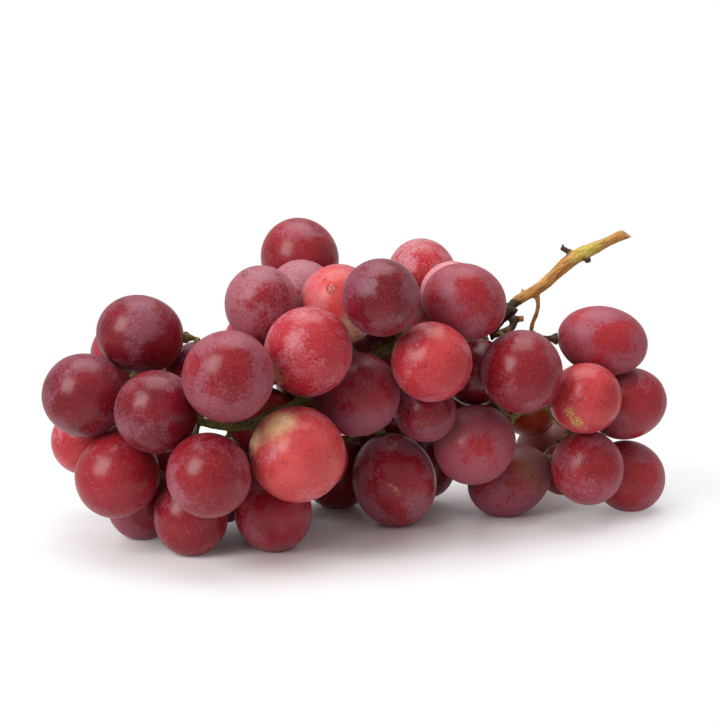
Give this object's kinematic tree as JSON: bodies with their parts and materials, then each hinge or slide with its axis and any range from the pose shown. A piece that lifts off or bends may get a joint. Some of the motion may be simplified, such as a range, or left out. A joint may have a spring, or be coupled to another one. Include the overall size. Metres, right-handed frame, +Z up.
{
  "type": "bunch of grapes",
  "caption": "Bunch of large round red table grapes on a branched woody stalk, lying on its side with the cut end of the stalk raised.",
  "frame": {"origin": "on the surface that the bunch lies on, under the middle of its outline", "axes": "+X along the bunch from its tip towards the cut end of the stalk, +Y away from the side that the picture shows, +Z up"},
  "size_m": [0.192, 0.1266, 0.0909],
  "materials": {
    "dark_grape": "satin",
    "red_grape": "satin",
    "light_grape": "satin",
    "amber_grape": "satin",
    "green_grape": "satin",
    "stalk": "matte"
  },
  "bodies": {
    "root": {"stalk": "stalk", "grape_back_01": "dark_grape", "grape_back_02": "red_grape", "grape_back_03": "red_grape", "grape_back_04": "light_grape", "grape_back_05": "dark_grape", "grape_back_06": "red_grape", "grape_back_07": "red_grape", "grape_back_08": "light_grape", "grape_back_09": "dark_grape", "grape_back_10": "red_grape", "grape_back_11": "red_grape", "grape_back_12": "light_grape", "grape_back_13": "dark_grape", "grape_inner_01": "dark_grape", "grape_inner_02": "red_grape", "grape_inner_03": "dark_grape", "grape_inner_04": "red_grape", "grape_left_01": "dark_grape", "grape_left_02": "dark_grape", "grape_left_03": "dark_grape", "grape_left_04": "light_grape", "grape_left_05": "red_grape", "grape_left_06": "dark_grape", "grape_left_07": "red_grape", "grape_left_08": "red_grape", "grape_left_09": "red_grape", "grape_left_10": "dark_grape", "grape_left_11": "red_grape", "grape_middle_01": "dark_grape", "grape_middle_02": "red_grape", "grape_middle_03": "dark_grape", "grape_middle_04": "light_grape", "grape_middle_05": "light_grape", "grape_middle_06": "dark_grape", "grape_middle_07": "red_grape", "grape_middle_08": "red_grape", "grape_middle_09": "red_grape", "grape_middle_10": "light_grape", "grape_middle_11": "dark_grape", "grape_middle_12": "light_grape", "grape_middle_13": "red_grape", "grape_middle_14": "dark_grape", "grape_middle_15": "dark_grape", "grape_middle_16": "red_grape", "grape_middle_17": "red_grape", "grape_middle_18": "dark_grape", "grape_middle_19": "dark_grape", "grape_middle_20": "dark_grape", "grape_middle_21": "dark_grape", "grape_middle_22": "dark_grape", "grape_right_01": "red_grape", "grape_right_02": "light_grape", "grape_right_03": "red_grape", "grape_right_04": "red_grape", "grape_right_05": "red_grape", "grape_right_06": "green_grape", "grape_right_07": "amber_grape", "grape_right_08": "red_grape"}
  },
  "joints": []
}
